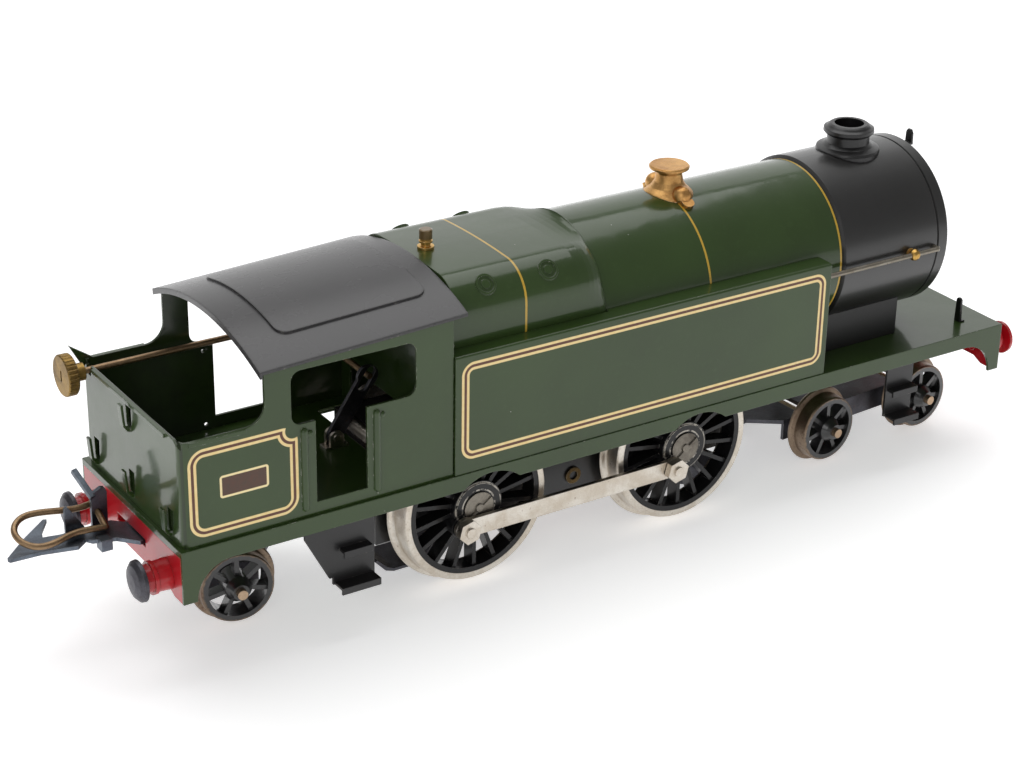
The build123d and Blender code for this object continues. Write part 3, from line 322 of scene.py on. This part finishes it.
def satin_black(name, base, pale, rough=0.34, coat=0.35, coat_rough=0.16, wear=0.56, edge=0.35):
    g = Graph(name)
    clouds = g.noise(0.07, 4.0, 0.6)
    grit = g.noise(3.0, 3.0, 0.6)
    colour = g.mix(g.step(clouds, 0.35, 0.7), base, pale)
    dust = g.mul(g.step(g.cells(0.4), 0.06, 0.04), g.step(g.noise(0.1, 2.0), 0.58, 0.62))
    colour = g.mix(g.mul(dust, 0.5), colour, linear(150, 148, 142))
    sharp, soft_normal = g.edges(edge)
    worn = g.mul(g.step(sharp, 0.15, 0.35), g.step(g.noise(0.7, 5.0, 0.7), wear, wear + 0.06))
    colour = g.mix(g.mul(worn, 0.8), colour, linear(150, 145, 135))
    g.set(Base_Color=colour, Roughness=g.add(rough, g.mul(grit, 0.14)), Coat_Weight=coat,
          Coat_Roughness=g.add(coat_rough, g.mul(clouds, 0.1)), Metallic=g.mul(worn, 0.6))
    g.bump(g.add(g.mul(grit, 0.16), clouds), 0.05, soft_normal)
    return g.mat


def from_axle(g, joint_name):
    """Distance in mm from a wheelset's own axle, taken from its joint."""
    joint = next(j for j in frame["record"]["behaviour"]["joints"] if j["name"] == joint_name)
    cx, cy, cz = [v * 1000 for v in joint["pos_m"]]
    ax, ay, _ = joint["axis"]
    across = g.sub(g.mul(g.add(g.x, SHIFT - cx), ay), g.mul(g.add(g.y, -cy), ax))
    return g.length(across, g.add(g.z, -cz))


def small_wheel(joint_name):
    """Brown worn tread and flange; black paint left on the spokes, hub and most of the rim face."""
    def paint(g):
        radius = from_axle(g, joint_name)
        ragged = g.mul(g.noise(0.7, 4.0, 0.7), 1.1)
        return g.step(g.add(radius, ragged), 9.55, 9.15)
    return metal("wheel_" + joint_name, linear(150, 132, 114), linear(92, 74, 58), rough=0.3,
                 rust=linear(96, 66, 46), rust_at=0.56, paint=paint)


def wheel_centre(joint_name):
    """Gloss black spokes and boss; the boss keeps a thin worn silver edge and the spokes are rubbed."""
    g = Graph("centre_" + joint_name)
    radius = from_axle(g, joint_name)
    fine = g.noise(1.4, 4.0, 0.65)
    colour = g.mix(fine, linear(14, 14, 15), linear(27, 26, 27))
    face = g.step(g.size(g.y), 21.35, 21.5)
    ring = g.mul(g.mul(within(g, g.add(radius, -6.55), 0.22), face),
                 g.step(g.noise(0.9, 4.0, 0.7), 0.42, 0.5))
    inner = g.mul(g.mul(within(g, g.add(radius, -4.75), 0.2), face),
                  g.step(g.noise(0.8, 4.0, 0.7), 0.46, 0.56))
    sharp, soft_normal = g.edges(0.25)
    rub = g.mul(g.step(sharp, 0.12, 0.36), g.step(g.noise(0.8, 5.0, 0.7), 0.52, 0.60))
    bare = g.high(g.high(ring, inner), g.mul(rub, 0.8))
    colour = g.mix(bare, colour, linear(176, 170, 160))
    g.set(Base_Color=colour, Metallic=g.mul(bare, 0.8), Roughness=g.add(0.26, g.mul(fine, 0.14)),
          Specular_IOR_Level=0.25, Coat_Weight=0.35, Coat_Roughness=0.14)
    g.bump(g.mul(fine, 0.3), 0.06, soft_normal)
    return g.mat


def whistle_metal():
    """Bright brass neck below, dark brown barrel above."""
    low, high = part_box("whistle")
    split = (low.z + (high.z - low.z) * 0.5) * 1000

    def paint(g):
        return g.mul(g.step(g.z, split, split + 0.3), 0.72)
    return metal("whistle", linear(218, 178, 104), linear(170, 128, 70), rough=0.22, paint=paint)


MATS = {}
MATS["green_enamel"] = enamel("green_enamel", GREEN, GREEN_DARK, GREEN_PALE)
MATS["tank_green"] = enamel("tank_green", GREEN, GREEN_DARK, GREEN_PALE, lining=tank_lining,
                            wear=0.3)
MATS["cab_green"] = enamel("cab_green", GREEN, GREEN_DARK, GREEN_PALE, inside=cab_inner_faces_shade,
                           lining=bunker_lining, wear=1.0)
MATS["boiler_green"] = enamel("boiler_green", GREEN, GREEN_DARK, GREEN_PALE,
                              bands=BOILER_BANDS, wear=0.2)
MATS["firebox_green"] = enamel("firebox_green", GREEN, GREEN_DARK, GREEN_PALE,
                               bands=FIREBOX_BANDS, wear=0.2)
MATS["red_enamel"] = enamel("red_enamel", linear(196, 22, 34), linear(168, 16, 26),
                            linear(208, 44, 50), wear=1.0)
MATS["black_enamel"] = satin_black("black_enamel", linear(14, 13, 14), linear(25, 24, 25),
                                   rough=0.34, coat=0.3)
MATS["smokebox_black"] = satin_black("smokebox_black", linear(17, 16, 15), linear(25, 24, 23),
                                     rough=0.34, coat=0.7,
                                     coat_rough=0.16, wear=0.62)
# Painted shade: the saddle gets a darker copy of the smokebox black, standing in for the shade under
# the smokebox; its thinner coat is its own duller finish.
MATS["shaded_saddle_black"] = satin_black("shaded_saddle_black", linear(10, 10, 10), linear(17, 16, 15),
                                   rough=0.4, coat=0.1)
MATS["roof_black"] = satin_black("roof_black", linear(24, 22, 24), linear(33, 30, 33),
                                 rough=0.34, coat=0.55,
                                 coat_rough=0.22, wear=0.6, edge=0.8)
MATS["dark_steel"] = metal("dark_steel", linear(96, 96, 102), linear(52, 48, 52), rough=0.3,
                           rust=linear(78, 54, 42), rust_at=0.62)
MATS["nickel"] = metal("nickel", linear(222, 216, 206), linear(176, 160, 138), rough=0.2,
                       rust=linear(122, 86, 54),
                       rust_at=0.64)
MATS["brass"] = metal("brass", linear(206, 166, 92), linear(150, 112, 58), rough=0.22)
MATS["copper_gilt"] = metal("copper_gilt", linear(226, 178, 112), linear(178, 128, 74),
                            rough=0.25, stain=0.7,
                            grain=0.04)
MATS["knob_brass"] = metal("knob_brass", linear(158, 128, 72), linear(96, 76, 44), rough=0.32,
                           stain=0.8)
MATS["bronze_wire"] = metal("bronze_wire", linear(160, 134, 104), linear(98, 76, 56), rough=0.32,
                            rust=linear(92, 62, 44))
MATS["rail_wire"] = metal("rail_wire", linear(156, 150, 138), linear(112, 102, 88), rough=0.3,
                          rust=linear(84, 58, 42))
MATS["dull_bush"] = metal("dull_bush", linear(104, 86, 56), linear(62, 50, 36), rough=0.42,
                          stain=0.8)
MATS["blue_steel"] = metal("blue_steel", linear(110, 118, 128), linear(70, 72, 80), rough=0.28,
                           rust=linear(78, 60, 48), rust_at=0.64)
MATS["axle_copper"] = metal("axle_copper", linear(198, 172, 144), linear(140, 112, 88), rough=0.26)
MATS["hub_steel"] = metal("hub_steel", linear(140, 134, 124), linear(84, 78, 72), rough=0.3,
                          stain=0.8)
MATS["coil_red"] = metal("coil_red", linear(110, 44, 26), linear(70, 26, 16), rough=0.4,
                         metallic=0.2,
                         scratch=(6.0, 0.4, 0.4))
MATS["fibre_board"] = metal("fibre_board", linear(84, 58, 42), linear(52, 36, 28), rough=0.55,
                            metallic=0.0)
MATS["whistle"] = whistle_metal()
MATS["rear_centres"] = wheel_centre("rear_drivers_spin")
MATS["front_centres"] = wheel_centre("front_drivers_spin")
MATS["bogie_trailing"] = small_wheel("bogie_trailing_wheels_spin")
MATS["bogie_leading"] = small_wheel("bogie_leading_wheels_spin")
MATS["pony"] = small_wheel("pony_wheels_spin")

LOOKS = {
    "right_tank": "tank_green",
    "left_tank": "tank_green",
    "cab_and_bunker": "cab_green",
    "boiler_barrel": "boiler_green",
    "firebox": "firebox_green",
    "cab_roof": "roof_black",
    "control_knob": "knob_brass",
    "smokebox": "smokebox_black",
    "smokebox_door": "smokebox_black",
    "smokebox_saddle": "shaded_saddle_black",
    "axle_bushes": "dull_bush",
    "front_axle": "hub_steel",
    "rear_axle": "hub_steel",
    "rear_coupling": "blue_steel",
    "whistle": "whistle",
    "boiler_handrails": "rail_wire",
    "rear_wheel_centres": "rear_centres",
    "front_wheel_centres": "front_centres",
    "bogie_trailing_wheels": "bogie_trailing",
    "bogie_leading_wheels": "bogie_leading",
    "pony_wheels": "pony",
}

for sub in frame["record"]["subparts"]:
    node = NODES[sub["node"]]
    node.data.materials.clear()
    node.data.materials.append(MATS[LOOKS.get(sub["node"], sub["material_slot"])])


# ---------------------------------------------------------------- floor, light and camera

def floor():
    bpy.ops.mesh.primitive_plane_add(size=8.0, location=(0, 0, 0))
    plane = bpy.context.object
    plane.name = "studio_floor"
    g = Graph("studio_floor")
    shade = g.mix(g.noise(0.004, 2.0), linear(247, 247, 248), linear(252, 252, 252))
    g.set(Base_Color=shade, Roughness=0.75, Emission_Color=shade, Emission_Strength=0.5)
    plane.data.materials.append(g.mat)


def softbox(name, place, aim, size, power):
    lamp = bpy.data.lights.new(name, "AREA")
    lamp.shape = "RECTANGLE"
    lamp.size, lamp.size_y = size
    lamp.energy = power
    made = bpy.data.objects.new(name, lamp)
    made.location = place
    made.rotation_euler = (Vector(aim) - Vector(place)).to_track_quat("-Z", "Y").to_euler()
    bpy.context.scene.collection.objects.link(made)


def world():
    made = bpy.data.worlds.new("studio")
    made.use_nodes = True
    back = made.node_tree.nodes["Background"]
    back.inputs["Color"].default_value = (1.0, 1.0, 1.0, 1.0)
    back.inputs["Strength"].default_value = 0.30
    bpy.context.scene.world = made


def camera():
    lens = bpy.data.cameras.new("camera")
    lens.sensor_width = 36.0
    lens.lens = 82.56
    made = bpy.data.objects.new("camera", lens)
    azimuth, elevation, roll = math.radians(-33.17), math.radians(25.304), math.radians(0.974)
    target = Vector((0.00870, 0.02726, 0.02635))
    toward = Vector((math.sin(azimuth) * math.cos(elevation), -math.cos(azimuth) * math.cos(elevation),
                     math.sin(elevation)))
    made.location = target + toward * 0.6411
    made.rotation_euler = (-toward).to_track_quat("-Z", "Y").to_euler()
    made.rotation_euler.rotate_axis("Z", roll)
    bpy.context.scene.collection.objects.link(made)
    bpy.context.scene.camera = made


floor()
world()
softbox("overhead", (0.1, 0.35, 1.25), (0, 0, 0), (1.5, 1.1), 9.5)
softbox("backdrop", (0.85, 1.30, 0.55), (0, 0, 0.05), (2.6, 1.3), 7.0)
softbox("front_fill", (-1.1, -1.0, 0.8), (0, 0, 0.05), (0.8, 0.8), 3.2)
camera()
bpy.context.scene.view_settings.view_transform = "Standard"
